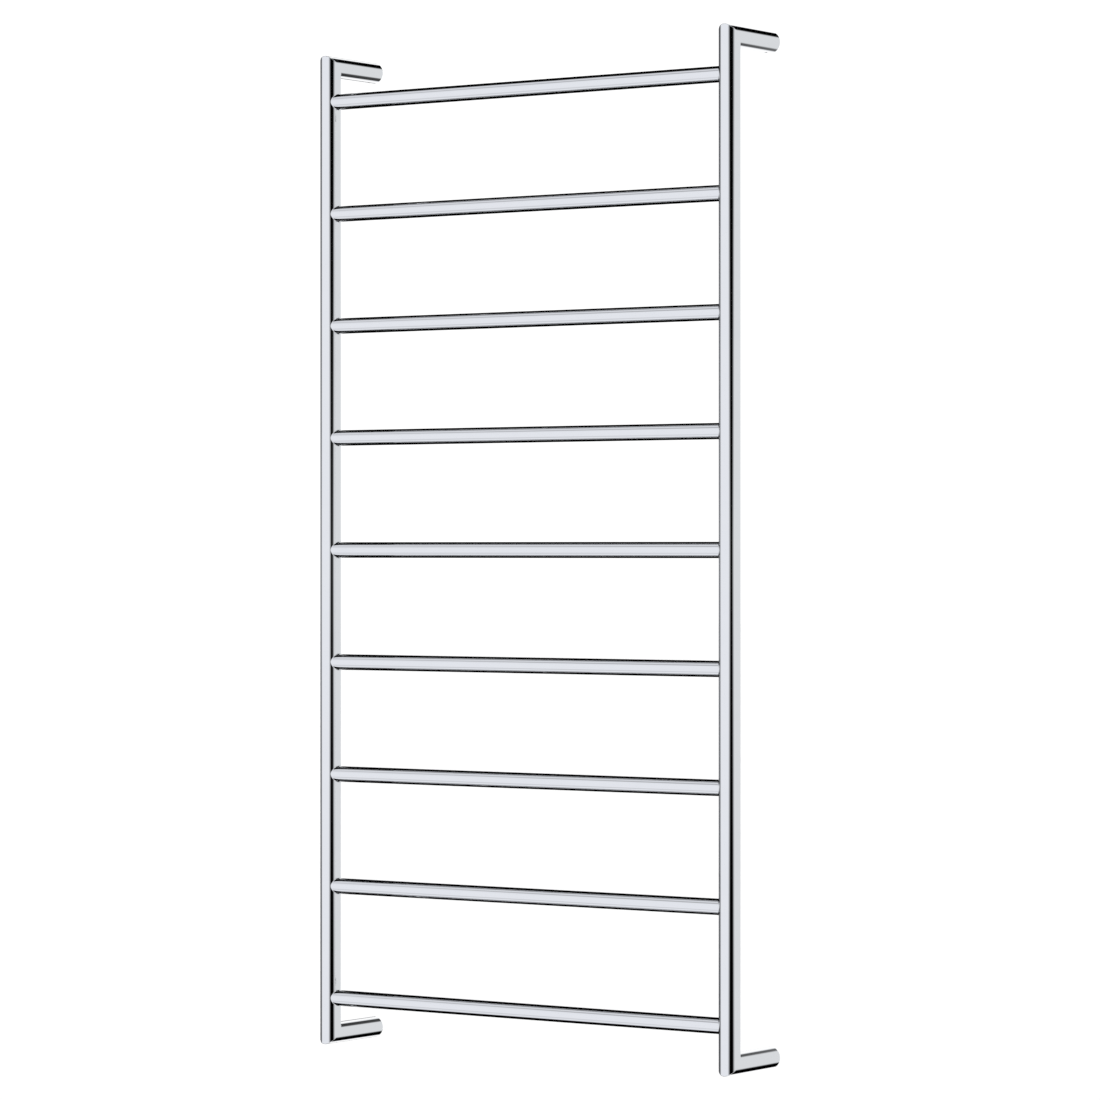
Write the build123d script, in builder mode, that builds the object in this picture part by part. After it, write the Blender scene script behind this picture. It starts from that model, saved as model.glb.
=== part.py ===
from build123d import *
import os
from math import pi

# A wall-hung electric towel rail. Two upright tubes carry nine straight rungs, and an arm is mitred on to
# each end of an upright and reaches back to the wall. The arms push over bushes screwed to the wall and
# are held there by grub screws. A heating cable runs back and forth through the tubes.
#
# Millimetres, +Z up. The wall is the plane Y = 0 and the rack stands out from it towards -Y. The origin is
# the centre of the four wall screw holes.

os.makedirs("parts", exist_ok=True)

# Overall size: width across the uprights, height over the arms, depth from the wall to the front.
overall_width = 600.0
overall_height = 1200.0
overall_depth = 102.0

# Uprights and arms are one tube, rungs a thinner one.
post_radius = 12.5
post_wall = 1.2
rung_radius = 9.5
rung_wall = 1.0
rung_count = 9
rung_pitch = 136.0

# Holes through the inner side of the uprights, hidden behind the rung ends, that let the cable through.
cable_hole_radius = 6.0

# Threaded sleeve welded inside the wall end of each arm.
arm_wall_gap = 0.5
arm_edge_break = 0.3
sleeve_outer_radius = 11.25
sleeve_inner_radius = 9.5
sleeve_inset = 2.5
sleeve_length = 18.0

# Turned bush that each arm slides over, with one countersunk wall screw through its middle.
bush_radius = 9.2
bush_length = 22.0
bush_lead_in = 1.5
wall_screw_radius = 2.5
wall_screw_head_radius = 4.6

# The bush on the wiring side has a slot along its top for the supply lead, lined with a rubber insert.
lead_slot_width = 6.2
lead_slot_floor = 4.8
grommet_clearance = 0.1
grommet_length = 8.0
lead_radius = 1.7
lead_height = 7.0

# M4 x 3 grub screws in the underside of the arms, with a 2 mm hexagon socket.
grub_radius = 2.0
grub_hole_radius = 2.1
grub_length = 3.0
grub_tip_from_axis = 9.5
grub_tip_chamfer = 0.5
grub_from_wall = 12.0
grub_socket_flats = 2.0
grub_socket_depth = 1.6

# Heating cable and what is fitted on it.
cable_radius = 2.0
cable_bend_radius = 16.0
cable_socket_radius = 2.05
cable_start_from_wall = 43.0
cable_turn_offset = 7.5
cable_edge_gap = 1.3
cable_end_from_middle = 256.0

splice_radius = 4.0
splice_from_wall = 28.0
splice_length = 22.0
splice_socket_depth = 8.0
splice_edge_radius = 1.5

seal_radius = 3.4
seal_length = 18.0
seal_cover = 12.0
seal_edge_radius = 1.2

cutout_length = 26.0
cutout_capsule_radius = 4.0
cutout_capsule_offset = 1.0
cutout_sleeve_radius = 3.0
cutout_edge_radius = 0.8

# Worked out from the sizes above.
post_inner_radius = post_radius - post_wall
rung_inner_radius = rung_radius - rung_wall
post_x = overall_width / 2 - post_radius
post_y = post_radius - overall_depth
arm_z = overall_height / 2 - post_radius
rung_heights = [rung_pitch * ((rung_count - 1) / 2 - index) for index in range(rung_count)]
cable_drop = cable_hole_radius - cable_radius - cable_edge_gap
cable_turn_x = post_x + cable_turn_offset

SIDES = {"left": -1, "right": 1}
ENDS = {"top": 1, "bottom": -1}


def mitre_plane(side, end):
    """Plane of the 45 degree joint between an upright and its arm, facing the arm."""
    return Plane(origin=(side * post_x, post_y, end * arm_z), z_dir=(0, 1, end))


def arm_section(side, end, distance_from_wall):
    """Plane square across an arm, centred on its axis and facing away from the wall."""
    return Plane(origin=(side * post_x, -distance_from_wall, end * arm_z), x_dir=(1, 0, 0), z_dir=(0, -1, 0))


def grub_axis(side, end):
    """Plane at an arm's axis, facing straight down along its grub screw."""
    return Plane(origin=(side * post_x, -grub_from_wall, end * arm_z), z_dir=(0, 0, -1))


# Uprights: one tube each, mitred at both ends, with a cable hole behind every rung end.
for side_name, side in SIDES.items():
    with BuildPart() as post:
        with BuildSketch(Plane.XY.offset(-overall_height / 2)):
            with Locations((side * post_x, post_y)):
                Circle(post_radius)
                Circle(post_inner_radius, mode=Mode.SUBTRACT)
        extrude(amount=overall_height)
        for end in ENDS.values():
            split(bisect_by=mitre_plane(side, end), keep=Keep.BOTTOM)
        inner_side = Plane(origin=(side * post_x, post_y, 0), x_dir=(0, 1, 0), z_dir=(-side, 0, 0))
        with BuildSketch(inner_side):
            with Locations([(0, height) for height in rung_heights]):
                Circle(cable_hole_radius)
        extrude(amount=post_radius, mode=Mode.SUBTRACT)
    post.part.label = f"{side_name}_post"
    export_step(post.part, f"parts/{side_name}_post.step")


# Rungs: straight tubes with a saddle cut in each end that closes on the round of the upright.
for index, height in enumerate(rung_heights):
    with BuildPart() as rung:
        with BuildSketch(Plane.YZ.offset(-post_x)):
            with Locations((post_y, height)):
                Circle(rung_radius)
                Circle(rung_inner_radius, mode=Mode.SUBTRACT)
        extrude(amount=2 * post_x)
        with BuildSketch(Plane.XY.offset(height - 2 * rung_radius)):
            with Locations((-post_x, post_y), (post_x, post_y)):
                Circle(post_radius)
        extrude(amount=4 * rung_radius, mode=Mode.SUBTRACT)
    rung.part.label = f"rung_{index + 1}"
    export_step(rung.part, f"parts/rung_{index + 1}.step")


# The four corners, each with its arm, threaded sleeve, wall bush and grub screw.
for end_name, end in ENDS.items():
    for side_name, side in SIDES.items():
        corner = f"{end_name}_{side_name}"
        wiring_corner = corner == "bottom_right"

        # Arm: the upright's tube, mitred at the front and square at the wall.
        with BuildPart() as arm:
            with BuildSketch(arm_section(side, end, arm_wall_gap)):
                Circle(post_radius)
                Circle(post_inner_radius, mode=Mode.SUBTRACT)
            extrude(amount=overall_depth - arm_wall_gap)
            split(bisect_by=mitre_plane(side, end), keep=Keep.TOP)
            with BuildSketch(grub_axis(side, end)):
                Circle(grub_hole_radius)
            extrude(amount=post_radius, mode=Mode.SUBTRACT)
            wall_edges = arm.faces().sort_by(Axis.Y)[-1].outer_wire().edges()
            chamfer(wall_edges, length=arm_edge_break)
        arm.part.label = f"{corner}_arm"
        export_step(arm.part, f"parts/{corner}_arm.step")

        # Sleeve: a short ring inside the arm, thick enough to be tapped for the grub screw.
        with BuildPart() as sleeve:
            with BuildSketch(arm_section(side, end, arm_wall_gap + sleeve_inset)):
                Circle(sleeve_outer_radius)
                Circle(sleeve_inner_radius, mode=Mode.SUBTRACT)
            extrude(amount=sleeve_length)
            with BuildSketch(grub_axis(side, end)):
                Circle(grub_hole_radius)
            extrude(amount=post_radius, mode=Mode.SUBTRACT)
        sleeve.part.label = f"{corner}_sleeve"
        export_step(sleeve.part, f"parts/{corner}_sleeve.step")

        # Wall bush: a turned peg, its screw countersunk from the room side.
        with BuildPart() as bush:
            with BuildSketch(arm_section(side, end, 0)):
                Circle(bush_radius)
            extrude(amount=bush_length)
            chamfer(bush.faces().sort_by(Axis.Y)[0].edges(), length=bush_lead_in)
            with Locations(arm_section(side, end, bush_length)):
                CounterSinkHole(radius=wall_screw_radius, counter_sink_radius=wall_screw_head_radius)
            if wiring_corner:
                with BuildSketch(arm_section(side, end, 0)):
                    with Locations((0, lead_slot_floor)):
                        Rectangle(lead_slot_width, bush_radius, align=(Align.CENTER, Align.MIN))
                extrude(amount=bush_length, mode=Mode.SUBTRACT)
        bush.part.label = f"{corner}_wall_bush"
        export_step(bush.part, f"parts/{corner}_wall_bush.step")

        # Grub screw: cup tip towards the bush, hexagon socket towards the floor.
        with BuildPart() as grub_screw:
            with BuildSketch(grub_axis(side, end).offset(grub_tip_from_axis)):
                Circle(grub_radius)
            extrude(amount=grub_length)
            tip_edges = grub_screw.faces().sort_by(Axis.Z)[-1].edges()
            chamfer(tip_edges, length=grub_tip_chamfer)
            with BuildSketch(grub_axis(side, end).offset(grub_tip_from_axis + grub_length)):
                RegularPolygon(grub_socket_flats / 2, 6, major_radius=False)
            extrude(amount=-grub_socket_depth, mode=Mode.SUBTRACT)
        grub_screw.part.label = f"{corner}_grub_screw"
        export_step(grub_screw.part, f"parts/{corner}_grub_screw.step")


# Rubber insert in the slot of the wiring bush: the inlet that the supply lead comes in through.
lead_floor = arm_section(SIDES["right"], ENDS["bottom"], 0)
with BuildPart() as supply_grommet:
    with BuildSketch(lead_floor):
        Circle(bush_radius)
        with Locations((0, lead_slot_floor + grommet_clearance)):
            Rectangle(
                lead_slot_width - 2 * grommet_clearance,
                bush_radius,
                align=(Align.CENTER, Align.MIN),
                mode=Mode.INTERSECT,
            )
        with Locations((0, lead_height)):
            Circle(lead_radius, mode=Mode.SUBTRACT)
    extrude(amount=grommet_length)
supply_grommet.part.label = "supply_grommet"
export_step(supply_grommet.part, "parts/supply_grommet.step")


# Crimped joint between the supply lead and the heating cable, with a socket for each.
with BuildPart() as cold_joint:
    with BuildSketch(arm_section(SIDES["right"], ENDS["bottom"], splice_from_wall)):
        Circle(splice_radius)
    extrude(amount=splice_length)
    fillet(cold_joint.edges(), radius=splice_edge_radius)
    with BuildSketch(arm_section(SIDES["right"], ENDS["bottom"], splice_from_wall)):
        Circle(lead_radius)
    extrude(amount=splice_socket_depth, mode=Mode.SUBTRACT)
    with BuildSketch(arm_section(SIDES["right"], ENDS["bottom"], cable_start_from_wall)):
        Circle(cable_socket_radius)
    extrude(amount=splice_from_wall + splice_length - cable_start_from_wall, mode=Mode.SUBTRACT)
cold_joint.part.label = "cold_joint"
export_step(cold_joint.part, "parts/cold_joint.step")


# Heating cable: in through the bottom right arm, up the right upright into the bottom rung, then back and
# forth up the ladder. It rests on the lower edge of the cable holes and turns against the far wall of the
# uprights.
cable_heights = [height - cable_drop for height in reversed(rung_heights)]
cable_route = [
    (post_x, -cable_start_from_wall, -arm_z),
    (post_x, post_y, -arm_z),
    (post_x, post_y, cable_heights[0]),
]
turn_side = -1
for lower, upper in zip(cable_heights, cable_heights[1:]):
    cable_route.append((turn_side * cable_turn_x, post_y, lower))
    cable_route.append((turn_side * cable_turn_x, post_y, upper))
    turn_side = -turn_side
cable_route.append((turn_side * cable_end_from_middle, post_y, cable_heights[-1]))

with BuildPart() as heating_cable:
    with BuildLine():
        cable_line = FilletPolyline(*cable_route, radius=cable_bend_radius)
    with BuildSketch(arm_section(SIDES["right"], ENDS["bottom"], cable_start_from_wall)):
        Circle(cable_radius)
    sweep()
heating_cable.part.label = "heating_cable"
export_step(heating_cable.part, "parts/heating_cable.step")
cable_length = cable_line.length
cable_section = pi * cable_radius**2
print(f"heating cable {cable_length:.0f} mm, bends of radius {cable_bend_radius:.0f} mm")
print(f"volume {heating_cable.part.volume:.0f} mm3, section times length {cable_section * cable_length:.0f} mm3")


# Silicone cap over the far end of the cable, in the top rung.
seal_mouth = turn_side * (cable_end_from_middle - seal_cover)
seal_plane = Plane(origin=(seal_mouth, post_y, cable_heights[-1]), x_dir=(0, 1, 0), z_dir=(turn_side, 0, 0))
with BuildPart() as cable_end_seal:
    with BuildSketch(seal_plane):
        Circle(seal_radius)
    extrude(amount=seal_length)
    fillet(cable_end_seal.edges(), radius=seal_edge_radius)
    with BuildSketch(seal_plane):
        Circle(cable_socket_radius)
    extrude(amount=seal_cover, mode=Mode.SUBTRACT)
cable_end_seal.part.label = "cable_end_seal"
export_step(cable_end_seal.part, "parts/cable_end_seal.step")


# Thermal cut-out: a capsule and a sleeve moulded as one, clipped on the cable's lowest turn on the right.
cutout_base = (cable_heights[1] + cable_heights[2] - cutout_length) / 2
with BuildPart() as thermal_cutout:
    with BuildSketch(Plane.XY.offset(cutout_base)) as cutout_profile:
        with Locations((cable_turn_x, post_y)):
            Circle(cutout_sleeve_radius)
        with Locations((post_x - cutout_capsule_offset, post_y)):
            Circle(cutout_capsule_radius)
        make_hull()
    extrude(amount=cutout_length)
    fillet(thermal_cutout.edges().group_by(Axis.Z)[0], radius=cutout_edge_radius)
    fillet(thermal_cutout.edges().group_by(Axis.Z)[-1], radius=cutout_edge_radius)
    with BuildSketch(Plane.XY.offset(cutout_base)):
        with Locations((cable_turn_x, post_y)):
            Circle(cable_socket_radius)
    extrude(amount=cutout_length, mode=Mode.SUBTRACT)
thermal_cutout.part.label = "thermal_cutout"
export_step(thermal_cutout.part, "parts/thermal_cutout.step")
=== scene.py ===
import math

import bmesh
import bpy
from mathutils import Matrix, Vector


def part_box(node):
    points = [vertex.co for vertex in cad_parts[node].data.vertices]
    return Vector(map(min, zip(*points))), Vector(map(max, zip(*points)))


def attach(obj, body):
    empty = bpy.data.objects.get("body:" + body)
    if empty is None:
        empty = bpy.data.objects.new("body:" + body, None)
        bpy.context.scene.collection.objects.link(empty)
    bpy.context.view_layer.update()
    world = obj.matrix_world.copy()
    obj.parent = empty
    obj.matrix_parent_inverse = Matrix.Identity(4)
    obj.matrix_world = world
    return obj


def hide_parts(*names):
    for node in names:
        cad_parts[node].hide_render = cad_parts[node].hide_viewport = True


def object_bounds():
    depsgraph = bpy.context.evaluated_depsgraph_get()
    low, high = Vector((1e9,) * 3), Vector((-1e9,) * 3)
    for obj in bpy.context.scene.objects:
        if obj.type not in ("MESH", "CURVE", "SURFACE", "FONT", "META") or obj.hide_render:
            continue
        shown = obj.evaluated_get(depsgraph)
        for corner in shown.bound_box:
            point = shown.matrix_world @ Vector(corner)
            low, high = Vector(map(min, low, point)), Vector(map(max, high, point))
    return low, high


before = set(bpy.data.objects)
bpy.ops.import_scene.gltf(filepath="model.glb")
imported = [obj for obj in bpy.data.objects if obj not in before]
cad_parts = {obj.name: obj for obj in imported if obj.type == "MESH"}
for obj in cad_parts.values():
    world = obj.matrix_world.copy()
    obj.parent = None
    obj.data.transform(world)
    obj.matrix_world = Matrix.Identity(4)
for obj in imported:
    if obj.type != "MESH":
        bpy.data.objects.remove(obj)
cad_low, cad_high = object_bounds()


# Uprights. Two round steel tubes, drawn, cut at 45 degrees at both ends and welded to the arms. The welds
# are ground flush and polished before plating, so each corner keeps only a small soft edge.

TUBE_RADIUS = 0.0125
TUBE_WALL = 0.0012
TUBE_SIDES = 128
CORNER_SOFTNESS = 0.0007
CORNER_STEPS = 7
RING_GAP = 0.0004
SHARP_ANGLE = math.radians(50)
WELD_REACH = 0.009
MITRE = math.radians(45)
QUARTER_TURN = math.radians(90)
RUNG_RADIUS = 0.0095
RUNG_COUNT = 9

right_low, right_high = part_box("right_post")
POST_X = (right_low.x + right_high.x) / 2
POST_Y = right_low.y + TUBE_RADIUS
ARM_Z = right_high.z - TUBE_RADIUS
SIDES = {"left": -1, "right": 1}
ENDS = {"top": 1, "bottom": -1}
rung_heights = []
for number in range(1, RUNG_COUNT + 1):
    rung_low, rung_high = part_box(f"rung_{number}")
    rung_heights.append((rung_low.z + rung_high.z) / 2)


def around(count):
    """Directions round a tube as (across, fore and aft) pairs."""
    return [(math.cos(a), math.sin(a)) for a in (2 * math.pi * i / count for i in range(count))]


def tube_shell(name, rings):
    """Closed shell through rings of points: out along the outside of a tube, back along its bore."""
    mesh = bpy.data.meshes.new(name)
    count = len(rings[0])
    points = [point for ring in rings for point in ring]
    faces = []
    for r in range(len(rings)):
        near, far = r * count, (r + 1) % len(rings) * count
        for i in range(count):
            j = (i + 1) % count
            faces.append((near + i, near + j, far + j, far + i))
    mesh.from_pydata(points, [], faces)
    bm = bmesh.new()
    bm.from_mesh(mesh)
    bmesh.ops.recalc_face_normals(bm, faces=bm.faces)
    bm.to_mesh(mesh)
    bm.free()
    mesh.shade_smooth()
    mesh.set_sharp_from_angle(angle=SHARP_ANGLE)
    shell = bpy.data.objects.new(name, mesh)
    bpy.context.scene.collection.objects.link(shell)
    return shell


def mark_welds(shell, centres, reach):
    """Stores how near each point is to a weld, 1 on the weld and 0 beyond its reach."""
    nearness = shell.data.attributes.new("weld_nearness", "FLOAT", "POINT")
    for vertex, value in zip(shell.data.vertices, nearness.data):
        gap = min(abs((vertex.co - centre).length - around_it) for centre, around_it in centres)
        value.value = max(0.0, 1.0 - gap / reach) ** 2


def corner_point(side, end, direction, radius, turn):
    """Point on the softened mitre between an upright (turn 0) and its arm (turn 90 degrees)."""
    across, along = direction
    x = side * POST_X + radius * across
    y = POST_Y + radius * along + CORNER_SOFTNESS * (1 - math.cos(turn))
    z = end * (ARM_Z - radius * along - CORNER_SOFTNESS * (1 - math.sin(turn)))
    return Vector((x, y, z))


def group_inputs(tree, sockets):
    """Adds named float or vector inputs with their defaults."""
    kinds = {float: "NodeSocketFloat", tuple: "NodeSocketVector"}
    for label, value in sockets.items():
        socket = tree.interface.new_socket(label, in_out="INPUT", socket_type=kinds[type(value)])
        socket.default_value = value


def polish_group():
    """Finish of a buffed and plated tube: faint polishing lines, a gentle ripple and a haze at the welds.

    Its outputs are a tint mask, a roughness and a height.
    """
    tree = bpy.data.node_groups.new("buffed_plate", "ShaderNodeTree")
    group_inputs(tree, {"Line Stretch": (1.0, 1.0, 1.0), "Line Amount": 0.5, "Ripple Size": 40.0,
                        "Low Roughness": 0.02, "High Roughness": 0.06, "Weld Amount": 0.3})
    for label in ("Tint", "Roughness", "Height"):
        tree.interface.new_socket(label, in_out="OUTPUT", socket_type="NodeSocketFloat")
    nodes, links = tree.nodes, tree.links
    inlet = nodes.new("NodeGroupInput")
    outlet = nodes.new("NodeGroupOutput")
    place = nodes.new("ShaderNodeTexCoord")

    stretch = nodes.new("ShaderNodeVectorMath")
    stretch.operation = "MULTIPLY"
    links.new(place.outputs["Object"], stretch.inputs[0])
    links.new(inlet.outputs["Line Stretch"], stretch.inputs[1])

    lines = nodes.new("ShaderNodeTexNoise")
    lines.inputs["Scale"].default_value = 1.0
    lines.inputs["Detail"].default_value = 4.0
    links.new(stretch.outputs[0], lines.inputs["Vector"])

    ripple = nodes.new("ShaderNodeTexNoise")
    ripple.inputs["Detail"].default_value = 1.0
    links.new(place.outputs["Object"], ripple.inputs["Vector"])
    links.new(inlet.outputs["Ripple Size"], ripple.inputs["Scale"])

    weld = nodes.new("ShaderNodeAttribute")
    weld.attribute_name = "weld_nearness"
    weld_mark = nodes.new("ShaderNodeMath")
    weld_mark.operation = "MULTIPLY"
    links.new(weld.outputs["Fac"], weld_mark.inputs[0])
    links.new(inlet.outputs["Weld Amount"], weld_mark.inputs[1])

    haze = nodes.new("ShaderNodeMath")
    haze.operation = "MULTIPLY_ADD"
    links.new(lines.outputs["Fac"], haze.inputs[0])
    links.new(inlet.outputs["Line Amount"], haze.inputs[1])
    links.new(weld_mark.outputs[0], haze.inputs[2])

    roughness = nodes.new("ShaderNodeMapRange")
    roughness.inputs["From Min"].default_value = 0.0
    roughness.inputs["From Max"].default_value = 1.0
    links.new(haze.outputs[0], roughness.inputs["Value"])
    links.new(inlet.outputs["Low Roughness"], roughness.inputs["To Min"])
    links.new(inlet.outputs["High Roughness"], roughness.inputs["To Max"])
    links.new(roughness.outputs[0], outlet.inputs["Roughness"])

    height = nodes.new("ShaderNodeMath")
    height.operation = "MULTIPLY_ADD"
    height.inputs[1].default_value = 0.15
    links.new(lines.outputs["Fac"], height.inputs[0])
    links.new(ripple.outputs["Fac"], height.inputs[2])
    links.new(height.outputs[0], outlet.inputs["Height"])
    links.new(ripple.outputs["Fac"], outlet.inputs["Tint"])
    return tree


BUFFED_PLATE = polish_group()


def chrome(name, line_stretch):
    """Bright chrome plate over polished steel; line_stretch is how fast its lines change along X, Y and Z."""
    material = bpy.data.materials.new(name)
    material.use_nodes = True
    nodes, links = material.node_tree.nodes, material.node_tree.links
    shader = nodes["Principled BSDF"]
    shader.inputs["Metallic"].default_value = 1.0
    finish = nodes.new("ShaderNodeGroup")
    finish.node_tree = BUFFED_PLATE
    finish.inputs["Line Stretch"].default_value = line_stretch
    finish.inputs["Line Amount"].default_value = 0.6
    finish.inputs["Ripple Size"].default_value = 55.0
    finish.inputs["Low Roughness"].default_value = 0.015
    finish.inputs["High Roughness"].default_value = 0.05
    finish.inputs["Weld Amount"].default_value = 0.5

    plate = nodes.new("ShaderNodeMix")
    plate.data_type = "RGBA"
    plate.inputs["A"].default_value = (0.945, 0.950, 0.960, 1)
    plate.inputs["B"].default_value = (0.925, 0.932, 0.945, 1)
    links.new(finish.outputs["Tint"], plate.inputs["Factor"])
    links.new(plate.outputs["Result"], shader.inputs["Base Color"])
    links.new(finish.outputs["Roughness"], shader.inputs["Roughness"])

    surface = nodes.new("ShaderNodeBump")
    surface.inputs["Strength"].default_value = 0.07
    surface.inputs["Distance"].default_value = 0.00006
    links.new(finish.outputs["Height"], surface.inputs["Height"])
    links.new(surface.outputs["Normal"], shader.inputs["Normal"])
    return material


upright_chrome = chrome("upright_chrome", (900.0, 900.0, 30.0))

for side_name, side in SIDES.items():
    node = f"{side_name}_post"
    ways = around(TUBE_SIDES)
    turns = [MITRE * step / (CORNER_STEPS - 1) for step in range(CORNER_STEPS)]
    rings = []
    for turn in reversed(turns):
        rings.append([corner_point(side, -1, way, TUBE_RADIUS, turn) for way in ways])
    # A second ring close to each corner keeps the shading of the straight tube straight.
    guard = Vector((0, 0, RING_GAP))
    rings.append([point + guard for point in rings[-1]])
    rings.append([corner_point(side, 1, way, TUBE_RADIUS, 0) - guard for way in ways])
    for turn in turns:
        rings.append([corner_point(side, 1, way, TUBE_RADIUS, turn) for way in ways])
    bore = TUBE_RADIUS - TUBE_WALL
    for end in (1, -1):
        rings.append([corner_point(side, end, way, bore, MITRE) for way in ways])
    post_tube = tube_shell(f"{node}_tube", rings)
    weld_rings = [(Vector((side * (POST_X - TUBE_RADIUS), POST_Y, z)), RUNG_RADIUS) for z in rung_heights]
    mark_welds(post_tube, weld_rings, WELD_REACH)
    post_tube.data.materials.append(upright_chrome)
    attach(post_tube, "frame")
    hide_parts(node)


# Arms. The same tube as the uprights, cut square at the wall, where the sawn edge is broken by hand and the
# plate runs over it. A hole underneath, near the wall, lets the grub screw through.

EDGE_ROUND = 0.0004
BORE_ROUND = EDGE_ROUND / 2
EDGE_STEPS = 5
GRUB_HOLE_RADIUS = 0.0021
GRUB_HOLE_SIDES = 64
HOLE_SHARP_ANGLE = math.radians(40)
DRILL_START = 1.2 * TUBE_RADIUS

arm_chrome = chrome("arm_chrome", (900.0, 30.0, 900.0))


def arm_ring(side, end, ways, radius, y):
    """Ring of points round an arm's axis at one distance from the wall."""
    return [Vector((side * POST_X + radius * u, y, end * (ARM_Z - radius * w))) for u, w in ways]


def cut_hole(shell, centre, radius, depth):
    """Drills a round hole straight up into a shell from below."""
    bm = bmesh.new()
    bmesh.ops.create_circle(bm, cap_ends=True, segments=GRUB_HOLE_SIDES, radius=radius)
    lifted = bmesh.ops.extrude_face_region(bm, geom=list(bm.faces))
    bmesh.ops.translate(bm, verts=[v for v in lifted["geom"] if isinstance(v, bmesh.types.BMVert)],
                        vec=(0, 0, depth))
    bmesh.ops.recalc_face_normals(bm, faces=bm.faces)
    bmesh.ops.translate(bm, verts=bm.verts, vec=centre)
    mesh = bpy.data.meshes.new("drill")
    bm.to_mesh(mesh)
    bm.free()
    drill = bpy.data.objects.new("drill", mesh)
    bpy.context.scene.collection.objects.link(drill)
    cut = shell.modifiers.new("hole", "BOOLEAN")
    cut.operation = "DIFFERENCE"
    cut.solver = "EXACT"
    cut.object = drill
    scene_now = bpy.context.evaluated_depsgraph_get()
    drilled = bpy.data.meshes.new_from_object(shell.evaluated_get(scene_now))
    shell.modifiers.clear()
    shell.data = drilled
    bpy.data.objects.remove(drill)
    drilled.set_sharp_from_angle(angle=HOLE_SHARP_ANGLE)


for end_name, end in ENDS.items():
    for side_name, side in SIDES.items():
        corner = f"{end_name}_{side_name}"
        wall_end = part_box(f"{corner}_arm")[1].y
        grub_low, grub_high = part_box(f"{corner}_grub_screw")
        grub_y = (grub_low.y + grub_high.y) / 2
        ways = around(TUBE_SIDES)
        bore = TUBE_RADIUS - TUBE_WALL
        rings = []
        for step in range(CORNER_STEPS):
            turn = MITRE * (1 + step / (CORNER_STEPS - 1))
            rings.append([corner_point(side, end, way, TUBE_RADIUS, turn) for way in ways])
        rings.append([point + Vector((0, RING_GAP, 0)) for point in rings[-1]])
        rings.append(arm_ring(side, end, ways, TUBE_RADIUS, wall_end - EDGE_ROUND - RING_GAP))
        edge_turns = [QUARTER_TURN * step / (EDGE_STEPS - 1) for step in range(EDGE_STEPS)]
        for turn in edge_turns:
            radius = TUBE_RADIUS - EDGE_ROUND * (1 - math.cos(turn))
            rings.append(arm_ring(side, end, ways, radius, wall_end - EDGE_ROUND * (1 - math.sin(turn))))
        for turn in edge_turns:
            radius = bore + BORE_ROUND * (1 - math.sin(turn))
            rings.append(arm_ring(side, end, ways, radius, wall_end - BORE_ROUND * (1 - math.cos(turn))))
        rings.append([corner_point(side, end, way, bore, MITRE) for way in ways])
        arm_tube = tube_shell(f"{corner}_arm_tube", rings)
        under = Vector((side * POST_X, grub_y, end * ARM_Z - DRILL_START))
        cut_hole(arm_tube, under, GRUB_HOLE_RADIUS, TUBE_RADIUS)
        mark_welds(arm_tube, [(Vector((side * POST_X, POST_Y, end * ARM_Z)), TUBE_RADIUS)], WELD_REACH)
        arm_tube.data.materials.clear()
        arm_tube.data.materials.append(arm_chrome)
        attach(arm_tube, "frame")
        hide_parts(f"{corner}_arm")


# Rungs. Thinner straight tubes, saddled at both ends to close on the round of the uprights and welded all
# round. The bead is dressed down to a small even fillet before plating.

RUNG_WALL = 0.001
RUNG_SIDES = 96
BEAD = 0.0006
BEAD_STEPS = 6
BEAD_BITE = 0.00003

rung_chrome = chrome("rung_chrome", (30.0, 900.0, 900.0))


def saddle_ring(side, height, ways, radius, back_off):
    """Ring of points round a rung where it meets an upright's surface, drawn back along the rung."""
    ring = []
    for u, w in ways:
        reach = math.sqrt(TUBE_RADIUS**2 - (radius * u) ** 2)
        ring.append(Vector((side * (POST_X - reach - back_off), POST_Y + radius * u, height + radius * w)))
    return ring


for number, height in enumerate(rung_heights, start=1):
    ways = around(RUNG_SIDES)
    rings = []
    for side in (-1, 1):
        steps = range(BEAD_STEPS) if side < 0 else reversed(range(BEAD_STEPS))
        fillet = []
        for step in steps:
            turn = QUARTER_TURN * step / (BEAD_STEPS - 1)
            radius = RUNG_RADIUS + BEAD * (1 - math.sin(turn))
            fillet.append(saddle_ring(side, height, ways, radius, BEAD * (1 - math.cos(turn)) - BEAD_BITE))
        guard = [point - Vector((side * RING_GAP, 0, 0)) for point in fillet[-1 if side < 0 else 0]]
        rings += fillet + [guard] if side < 0 else [guard] + fillet
    for side in (1, -1):
        rings.append(saddle_ring(side, height, ways, RUNG_RADIUS - RUNG_WALL, 0))
    rung_tube = tube_shell(f"rung_{number}_tube", rings)
    weld_rings = [(Vector((s * (POST_X - TUBE_RADIUS), POST_Y, height)), RUNG_RADIUS) for s in (-1, 1)]
    mark_welds(rung_tube, weld_rings, WELD_REACH)
    rung_tube.data.materials.append(rung_chrome)
    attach(rung_tube, "frame")
    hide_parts(f"rung_{number}")


# Steel inside the arm ends: the welded threaded sleeves, the turned wall bushes and the grub screws. All are
# bare stainless, with the fine rings that the lathe leaves.

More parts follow.
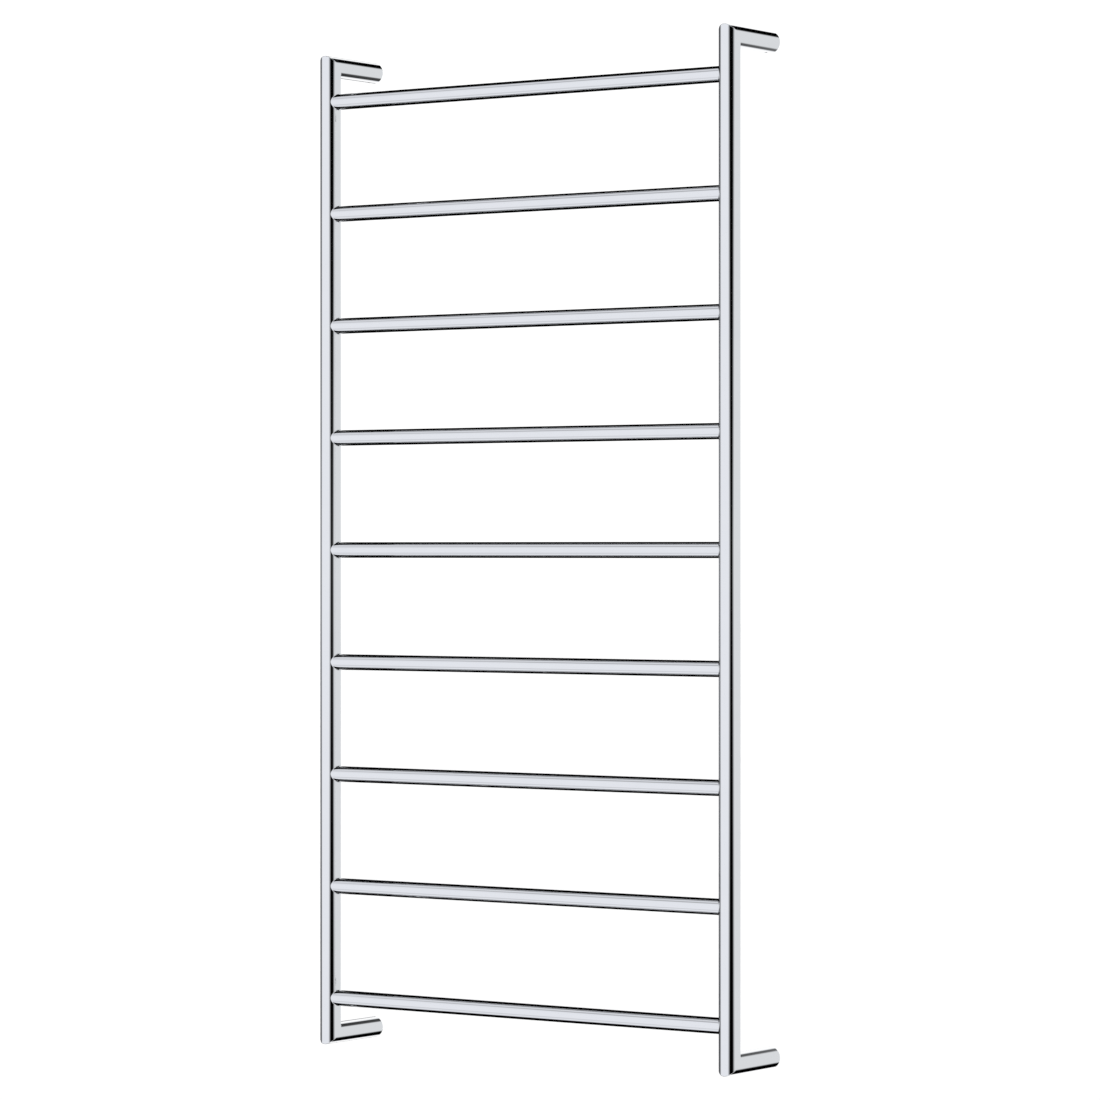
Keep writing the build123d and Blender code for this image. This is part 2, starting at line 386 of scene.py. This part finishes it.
def turned_group():
    """Fine rings round the Y axis of each piece, a soft stain and a roughness to match."""
    tree = bpy.data.node_groups.new("turned_rings", "ShaderNodeTree")
    group_inputs(tree, {"Ring Pitch": 2500.0, "Stain Size": 90.0,
                        "Low Roughness": 0.2, "High Roughness": 0.45})
    for label in ("Stain", "Roughness", "Height"):
        tree.interface.new_socket(label, in_out="OUTPUT", socket_type="NodeSocketFloat")
    nodes, links = tree.nodes, tree.links
    inlet = nodes.new("NodeGroupInput")
    outlet = nodes.new("NodeGroupOutput")
    place = nodes.new("ShaderNodeTexCoord")
    split = nodes.new("ShaderNodeSeparateXYZ")
    links.new(place.outputs["Object"], split.inputs[0])

    pitch = nodes.new("ShaderNodeMath")
    pitch.operation = "MULTIPLY"
    links.new(split.outputs["Y"], pitch.inputs[0])
    links.new(inlet.outputs["Ring Pitch"], pitch.inputs[1])
    rings = nodes.new("ShaderNodeTexNoise")
    rings.noise_dimensions = "1D"
    rings.inputs["Scale"].default_value = 1.0
    rings.inputs["Detail"].default_value = 3.0
    links.new(pitch.outputs[0], rings.inputs["W"])

    stain = nodes.new("ShaderNodeTexNoise")
    stain.inputs["Detail"].default_value = 5.0
    links.new(place.outputs["Object"], stain.inputs["Vector"])
    links.new(inlet.outputs["Stain Size"], stain.inputs["Scale"])

    roughness = nodes.new("ShaderNodeMapRange")
    links.new(stain.outputs["Fac"], roughness.inputs["Value"])
    links.new(inlet.outputs["Low Roughness"], roughness.inputs["To Min"])
    links.new(inlet.outputs["High Roughness"], roughness.inputs["To Max"])
    links.new(roughness.outputs[0], outlet.inputs["Roughness"])
    links.new(stain.outputs["Fac"], outlet.inputs["Stain"])
    links.new(rings.outputs["Fac"], outlet.inputs["Height"])
    return tree


TURNED_RINGS = turned_group()


def bare_steel(name, clean, stained, ring_pitch, depth):
    """Bare stainless steel, between a clean and a stained colour, with turning rings of the given depth."""
    material = bpy.data.materials.new(name)
    material.use_nodes = True
    nodes, links = material.node_tree.nodes, material.node_tree.links
    shader = nodes["Principled BSDF"]
    shader.inputs["Metallic"].default_value = 1.0
    finish = nodes.new("ShaderNodeGroup")
    finish.node_tree = TURNED_RINGS
    finish.inputs["Ring Pitch"].default_value = ring_pitch
    blend = nodes.new("ShaderNodeMix")
    blend.data_type = "RGBA"
    blend.inputs["A"].default_value = (*clean, 1)
    blend.inputs["B"].default_value = (*stained, 1)
    links.new(finish.outputs["Stain"], blend.inputs["Factor"])
    links.new(blend.outputs["Result"], shader.inputs["Base Color"])
    links.new(finish.outputs["Roughness"], shader.inputs["Roughness"])
    grooves = nodes.new("ShaderNodeBump")
    grooves.inputs["Strength"].default_value = 0.5
    grooves.inputs["Distance"].default_value = depth
    links.new(finish.outputs["Height"], grooves.inputs["Height"])
    links.new(grooves.outputs["Normal"], shader.inputs["Normal"])
    return material


def dress(node, material):
    """Gives a piece kept from the model its finish."""
    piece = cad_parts[node]
    piece.data.materials.clear()
    piece.data.materials.append(material)


sleeve_steel = bare_steel("sleeve_steel", (0.56, 0.55, 0.54), (0.40, 0.38, 0.36), 900.0, 0.00003)
bush_steel = bare_steel("bush_steel", (0.70, 0.70, 0.71), (0.58, 0.58, 0.59), 2600.0, 0.00002)
grub_steel = bare_steel("grub_steel", (0.62, 0.62, 0.63), (0.48, 0.48, 0.49), 4000.0, 0.00003)

for end_name in ENDS:
    for side_name in SIDES:
        corner = f"{end_name}_{side_name}"
        dress(f"{corner}_sleeve", sleeve_steel)
        dress(f"{corner}_wall_bush", bush_steel)
        dress(f"{corner}_grub_screw", grub_steel)


# Heating cable and its fittings, all inside the tubes: a silicone-jacketed cable with a cap on its far end,
# a moulded cut-out clipped to it, a shrink-covered joint to the supply lead and a rubber insert at the wall.

def mottle_group():
    """Soft mottling of a moulded or extruded skin, with a fine grain as height."""
    tree = bpy.data.node_groups.new("moulded_skin", "ShaderNodeTree")
    group_inputs(tree, {"Mottle Size": 120.0, "Grain Size": 2500.0,
                        "Low Roughness": 0.45, "High Roughness": 0.7})
    for label in ("Mottle", "Roughness", "Height"):
        tree.interface.new_socket(label, in_out="OUTPUT", socket_type="NodeSocketFloat")
    nodes, links = tree.nodes, tree.links
    inlet = nodes.new("NodeGroupInput")
    outlet = nodes.new("NodeGroupOutput")
    place = nodes.new("ShaderNodeTexCoord")
    mottle = nodes.new("ShaderNodeTexNoise")
    mottle.inputs["Detail"].default_value = 4.0
    links.new(place.outputs["Object"], mottle.inputs["Vector"])
    links.new(inlet.outputs["Mottle Size"], mottle.inputs["Scale"])
    grain = nodes.new("ShaderNodeTexNoise")
    grain.inputs["Detail"].default_value = 2.0
    links.new(place.outputs["Object"], grain.inputs["Vector"])
    links.new(inlet.outputs["Grain Size"], grain.inputs["Scale"])
    roughness = nodes.new("ShaderNodeMapRange")
    links.new(mottle.outputs["Fac"], roughness.inputs["Value"])
    links.new(inlet.outputs["Low Roughness"], roughness.inputs["To Min"])
    links.new(inlet.outputs["High Roughness"], roughness.inputs["To Max"])
    links.new(roughness.outputs[0], outlet.inputs["Roughness"])
    links.new(mottle.outputs["Fac"], outlet.inputs["Mottle"])
    links.new(grain.outputs["Fac"], outlet.inputs["Height"])
    return tree


MOULDED_SKIN = mottle_group()


def skin(name, light, dark, low_roughness, high_roughness):
    """Rubber or plastic that drifts between two close colours, with a fine moulded grain."""
    material = bpy.data.materials.new(name)
    material.use_nodes = True
    nodes, links = material.node_tree.nodes, material.node_tree.links
    shader = nodes["Principled BSDF"]
    finish = nodes.new("ShaderNodeGroup")
    finish.node_tree = MOULDED_SKIN
    finish.inputs["Low Roughness"].default_value = low_roughness
    finish.inputs["High Roughness"].default_value = high_roughness
    blend = nodes.new("ShaderNodeMix")
    blend.data_type = "RGBA"
    blend.inputs["A"].default_value = (*light, 1)
    blend.inputs["B"].default_value = (*dark, 1)
    links.new(finish.outputs["Mottle"], blend.inputs["Factor"])
    links.new(blend.outputs["Result"], shader.inputs["Base Color"])
    links.new(finish.outputs["Roughness"], shader.inputs["Roughness"])
    grain = nodes.new("ShaderNodeBump")
    grain.inputs["Strength"].default_value = 0.4
    grain.inputs["Distance"].default_value = 0.00002
    links.new(finish.outputs["Height"], grain.inputs["Height"])
    links.new(grain.outputs["Normal"], shader.inputs["Normal"])
    return material


dress("heating_cable", skin("cable_silicone", (0.46, 0.06, 0.04), (0.36, 0.045, 0.03), 0.5, 0.7))
dress("cable_end_seal", skin("seal_silicone", (0.74, 0.72, 0.67), (0.66, 0.64, 0.60), 0.5, 0.7))
dress("thermal_cutout", skin("cutout_plastic", (0.86, 0.84, 0.78), (0.80, 0.78, 0.72), 0.35, 0.5))
dress("cold_joint", skin("joint_shrink", (0.045, 0.045, 0.05), (0.03, 0.03, 0.033), 0.3, 0.45))
dress("supply_grommet", skin("grommet_rubber", (0.055, 0.055, 0.055), (0.035, 0.035, 0.035), 0.55, 0.8))


# Studio. The rack hangs in the air as on its wall, above a plain pale floor. White panels stand all round,
# with black flags between them and two black cards behind, which draw the dark lines on the chrome. Only
# reflections show the flags and cards; everything else sees plain white.

FLOOR_DROP = 0.5
FLOOR_REACH = 60.0
FLOOR_RINGS = 40
FLOOR_SIDES = 96

bm = bmesh.new()
previous = None
for ring in range(1, FLOOR_RINGS + 1):
    radius = FLOOR_REACH * (ring / FLOOR_RINGS) ** 3
    circle = [bm.verts.new((radius * u, radius * w, cad_low.z - FLOOR_DROP)) for u, w in around(FLOOR_SIDES)]
    if previous is None:
        bm.faces.new(circle)
    else:
        for i in range(FLOOR_SIDES):
            j = (i + 1) % FLOOR_SIDES
            bm.faces.new((previous[i], circle[i], circle[j], previous[j]))
    previous = circle
floor_mesh = bpy.data.meshes.new("studio_floor")
bm.to_mesh(floor_mesh)
bm.free()
studio_floor = bpy.data.objects.new("studio_floor", floor_mesh)
bpy.context.scene.collection.objects.link(studio_floor)
studio_floor.visible_glossy = False

paper = bpy.data.materials.new("floor_paper")
paper.use_nodes = True
paper_nodes, paper_links = paper.node_tree.nodes, paper.node_tree.links
paper_nodes["Principled BSDF"].inputs["Roughness"].default_value = 0.9
paper_nodes["Principled BSDF"].inputs["Specular IOR Level"].default_value = 0.0
paper_place = paper_nodes.new("ShaderNodeTexCoord")
paper_grain = paper_nodes.new("ShaderNodeTexNoise")
paper_grain.inputs["Scale"].default_value = 3.0
paper_mix = paper_nodes.new("ShaderNodeMix")
paper_mix.data_type = "RGBA"
paper_mix.inputs["A"].default_value = (0.95, 0.95, 0.95, 1)
paper_mix.inputs["B"].default_value = (0.93, 0.93, 0.935, 1)
paper_links.new(paper_place.outputs["Object"], paper_grain.inputs["Vector"])
paper_links.new(paper_grain.outputs["Fac"], paper_mix.inputs["Factor"])
paper_links.new(paper_mix.outputs["Result"], paper_nodes["Principled BSDF"].inputs["Base Color"])
# Seen from underneath, the floor is clear.
paper_under = paper_nodes.new("ShaderNodeNewGeometry")
paper_clear = paper_nodes.new("ShaderNodeBsdfTransparent")
paper_sides = paper_nodes.new("ShaderNodeMixShader")
paper_links.new(paper_under.outputs["Backfacing"], paper_sides.inputs[0])
paper_links.new(paper_nodes["Principled BSDF"].outputs[0], paper_sides.inputs[1])
paper_links.new(paper_clear.outputs[0], paper_sides.inputs[2])
paper_links.new(paper_sides.outputs[0], paper_nodes["Material Output"].inputs["Surface"])
floor_mesh.materials.append(paper)


# Near the horizon a spread flag grows wider with height, up to this many degrees.
SPREAD_HEIGHT = 7.0
HALF_TURN = 180.0


def flag_group():
    """Mask of one soft-edged black flag, given in degrees round the studio and above or below its horizon."""
    tree = bpy.data.node_groups.new("black_flag", "ShaderNodeTree")
    group_inputs(tree, {"Bearing": 0.0, "Height": 0.0, "Centre": 0.0, "Half Width": 10.0, "Lowest": 0.0,
                        "Highest": 90.0, "Softness": 3.0, "Spread": 0.0})
    tree.interface.new_socket("Mask", in_out="OUTPUT", socket_type="NodeSocketFloat")
    nodes, links = tree.nodes, tree.links
    inlet = nodes.new("NodeGroupInput")
    outlet = nodes.new("NodeGroupOutput")

    def sum_up(operation, first, second):
        node = nodes.new("ShaderNodeMath")
        node.operation = operation
        for socket, value in zip(node.inputs, (first, second)):
            if isinstance(value, (int, float)):
                socket.default_value = value
            elif value is not None:
                links.new(value, socket)
        return node.outputs[0]

    def edge(distance, softness):
        """Runs from 0 outside to 1 inside an edge; distance is how far inside the point lies."""
        half_in = sum_up("DIVIDE", distance, softness)
        centred = sum_up("ADD", half_in, 0.5)
        clamped = nodes.new("ShaderNodeClamp")
        links.new(centred, clamped.inputs["Value"])
        return clamped.outputs[0]

    height = inlet.outputs["Height"]
    steepness = sum_up("ABSOLUTE", height, None)
    wider = sum_up("MULTIPLY", sum_up("MINIMUM", steepness, SPREAD_HEIGHT), inlet.outputs["Spread"])
    reach = sum_up("ADD", inlet.outputs["Half Width"], wider)
    turn = sum_up("WRAP", sum_up("SUBTRACT", inlet.outputs["Bearing"], inlet.outputs["Centre"]), HALF_TURN)
    turn.node.inputs[2].default_value = -HALF_TURN
    offset = sum_up("ABSOLUTE", turn, None)
    across = edge(sum_up("SUBTRACT", reach, offset), inlet.outputs["Softness"])
    above = edge(sum_up("SUBTRACT", height, inlet.outputs["Lowest"]), inlet.outputs["Softness"])
    below = edge(sum_up("SUBTRACT", inlet.outputs["Highest"], height), inlet.outputs["Softness"])
    links.new(sum_up("MULTIPLY", sum_up("MULTIPLY", across, above), below), outlet.inputs["Mask"])
    return tree


BLACK_FLAG = flag_group()

studio = bpy.data.worlds.new("white_studio")
bpy.context.scene.world = studio
studio.use_nodes = True
sky_nodes, sky_links = studio.node_tree.nodes, studio.node_tree.links
sky = sky_nodes["Background"]
sky_place = sky_nodes.new("ShaderNodeTexCoord")
sky_split = sky_nodes.new("ShaderNodeSeparateXYZ")
sky_links.new(sky_place.outputs["Generated"], sky_split.inputs[0])


def sky_math(operation, *values):
    """One step of arithmetic on the studio's light."""
    node = sky_nodes.new("ShaderNodeMath")
    node.operation = operation
    for socket, value in zip(node.inputs, values):
        if isinstance(value, (int, float)):
            socket.default_value = value
        else:
            sky_links.new(value, socket)
    return node.outputs[0]


turned = sky_math("ARCTAN2", sky_split.outputs["Y"], sky_split.outputs["X"])
bearing = sky_math("DEGREES", turned)
raised = sky_math("ARCSINE", sky_split.outputs["Z"])
height = sky_math("DEGREES", raised)
either_way = sky_math("ABSOLUTE", height)

# bearing of the middle, half width, lowest and highest edge, softness, spread, darkness, repeated below
FLAGS = [
    (-38.5, 18.2, -30.0, 20.0, 22.0, 1.33, 1.0, True),
    (150.0, 26.5, 12.0, 72.0, 3.0, 0.0, 1.0, True),
    (163.0, 31.0, 3.0, 72.0, 16.0, 0.0, 1.0, True),
    (162.0, 26.0, -20.0, 12.0, 12.0, 0.0, 0.6, True),
    (206.0, 22.0, 20.0, 75.0, 12.0, 0.0, 0.15, False),
    (226.5, 6.5, 34.0, 46.0, 5.0, 0.0, 0.4, False),
    (222.0, 7.0, -44.0, -31.0, 6.0, 0.0, 0.2, False),
    (-90.0, 28.0, 46.0, 74.0, 5.0, 0.0, 1.0, True),
    (90.0, 28.0, 46.0, 74.0, 5.0, 0.0, 1.0, True),
    (8.0, 24.0, 22.0, 50.0, 5.0, 0.0, 1.0, True),
]
# dark corners of the studio that only show where one tube mirrors another
CREVICE_FLAGS = [
    (1.0, 123.0, 44.0, 120.0, 8.0, 0.0, 1.0, True),
    (22.0, 30.0, 14.0, 120.0, 8.0, 0.0, 1.0, True),
]


def place_flag(centre, half_width, lowest, highest, softness, spread, repeated):
    """Hangs one flag and returns its mask."""
    flag = sky_nodes.new("ShaderNodeGroup")
    flag.node_tree = BLACK_FLAG
    sky_links.new(bearing, flag.inputs["Bearing"])
    sky_links.new(either_way if repeated else height, flag.inputs["Height"])
    for label, value in (("Centre", centre), ("Half Width", half_width), ("Lowest", lowest),
                         ("Highest", highest), ("Softness", softness), ("Spread", spread)):
        flag.inputs[label].default_value = value
    return flag.outputs["Mask"]


ray = sky_nodes.new("ShaderNodeLightPath")
# A ray that reaches the panels counts one step more than the mirrors that it left.
mirrored_twice = sky_math("GREATER_THAN", ray.outputs["Ray Depth"], 2.5)
light_left = 1.0
for flag_row in FLAGS + CREVICE_FLAGS:
    centre, half_width, lowest, highest, softness, spread, darkness, repeated = flag_row
    mask = place_flag(centre, half_width, lowest, highest, softness, spread, repeated)
    if flag_row in CREVICE_FLAGS:
        mask = sky_math("MULTIPLY", mask, mirrored_twice)
    shade = sky_math("MULTIPLY_ADD", mask, -darkness, 1.0)
    light_left = sky_math("MULTIPLY", light_left, shade)

# The panels to the left of the rack are a little brighter than those to its right.
to_right = sky_math("ADD", sky_math("MULTIPLY", sky_split.outputs["X"], 0.82),
                    sky_math("MULTIPLY", sky_split.outputs["Y"], 0.57))
side_blend = sky_nodes.new("ShaderNodeMapRange")
side_blend.interpolation_type = "SMOOTHSTEP"
side_blend.inputs["From Min"].default_value = -0.25
side_blend.inputs["From Max"].default_value = 0.35
sky_links.new(to_right, side_blend.inputs["Value"])
panels = sky_nodes.new("ShaderNodeMix")
panels.data_type = "RGBA"
panels.inputs["A"].default_value = (0.810, 0.827, 0.872, 1)
panels.inputs["B"].default_value = (0.716, 0.732, 0.748, 1)
sky_links.new(side_blend.outputs[0], panels.inputs["Factor"])

# Narrow bright strips light the edges of the arms.
strip = place_flag(116.0, 10.5, 5.0, 42.0, 4.0, 0.0, True)
lit = sky_nodes.new("ShaderNodeMix")
lit.data_type = "RGBA"
lit.inputs["B"].default_value = (1.05, 1.05, 1.05, 1)
sky_links.new(strip, lit.inputs["Factor"])
sky_links.new(panels.outputs["Result"], lit.inputs["A"])

flagged = sky_nodes.new("ShaderNodeMix")
flagged.data_type = "RGBA"
flagged.inputs["A"].default_value = (0, 0, 0, 1)
sky_links.new(light_left, flagged.inputs["Factor"])
sky_links.new(lit.outputs["Result"], flagged.inputs["B"])

seen = sky_nodes.new("ShaderNodeMix")
seen.data_type = "RGBA"
seen.inputs["A"].default_value = (1.10, 1.10, 1.10, 1)
sky_links.new(ray.outputs["Is Glossy Ray"], seen.inputs["Factor"])
sky_links.new(flagged.outputs["Result"], seen.inputs["B"])
sky_links.new(seen.outputs["Result"], sky.inputs["Color"])

# Two black cards hang far behind the rack, one high and one low. Only the shine of the tubes shows them.
CARD_BACK = 3.8
LEFT_FADE = 0.15
RIGHT_FADE = 0.3
# distance above or below the rack's middle, left and right edge, how black
CARD_ROWS = [
    (1.30, -0.30, 1.20, 0.0),
    (1.64, -0.30, 1.25, 0.5),
    (1.86, -0.35, 1.26, 0.85),
    (2.36, -0.83, 1.40, 0.94),
    (2.75, -1.10, 1.50, 1.0),
    (7.00, -1.30, 1.55, 1.0),
]

card_black = bpy.data.materials.new("card_black")
card_black.use_nodes = True
card_nodes, card_links = card_black.node_tree.nodes, card_black.node_tree.links
card_nodes.remove(card_nodes["Principled BSDF"])
card_cover = card_nodes.new("ShaderNodeAttribute")
card_cover.attribute_name = "cover"
card_paper = card_nodes.new("ShaderNodeBsdfDiffuse")
card_paper.inputs["Color"].default_value = (0, 0, 0, 1)
card_gap = card_nodes.new("ShaderNodeBsdfTransparent")
card_mix = card_nodes.new("ShaderNodeMixShader")
card_links.new(card_cover.outputs["Fac"], card_mix.inputs[0])
card_links.new(card_gap.outputs[0], card_mix.inputs[1])
card_links.new(card_paper.outputs[0], card_mix.inputs[2])
card_links.new(card_mix.outputs[0], card_nodes["Material Output"].inputs["Surface"])

for end_name, end in ENDS.items():
    card_points = []
    card_covers = []
    for away, left, right, black in CARD_ROWS:
        for x in (left - LEFT_FADE, left + LEFT_FADE, right - RIGHT_FADE, right + RIGHT_FADE):
            card_points.append((x, CARD_BACK, end * away))
        card_covers += [0.0, black, black, 0.0]
    card_faces = [(4 * r + c, 4 * r + c + 1, 4 * r + c + 5, 4 * r + c + 4)
                  for r in range(len(CARD_ROWS) - 1) for c in range(3)]
    card_mesh = bpy.data.meshes.new(f"{end_name}_card")
    card_mesh.from_pydata(card_points, [], card_faces)
    card_mesh.attributes.new("cover", "FLOAT", "POINT").data.foreach_set("value", card_covers)
    card_mesh.materials.append(card_black)
    card = bpy.data.objects.new(f"{end_name}_card", card_mesh)
    bpy.context.scene.collection.objects.link(card)
    card.visible_camera = False
    card.visible_diffuse = False
    card.visible_transmission = False
    card.visible_shadow = False


# Camera. It stands at the rack's mid-height, well back and to its right, level, with a long lens.

CAMERA_BACK = 4.2263
CAMERA_RIGHT = 2.9805
CAMERA_TURN = 34.85
LENS = 143.55

lens = bpy.data.cameras.new("studio_camera")
lens.lens = LENS
lens.sensor_width = 36.0
lens.clip_end = 200.0
studio_camera = bpy.data.objects.new("studio_camera", lens)
bpy.context.scene.collection.objects.link(studio_camera)
studio_camera.location = (CAMERA_RIGHT, POST_Y - CAMERA_BACK, 0)
studio_camera.rotation_euler = (math.radians(90), 0, math.radians(CAMERA_TURN))
bpy.context.scene.camera = studio_camera
bpy.context.scene.view_settings.view_transform = "Standard"
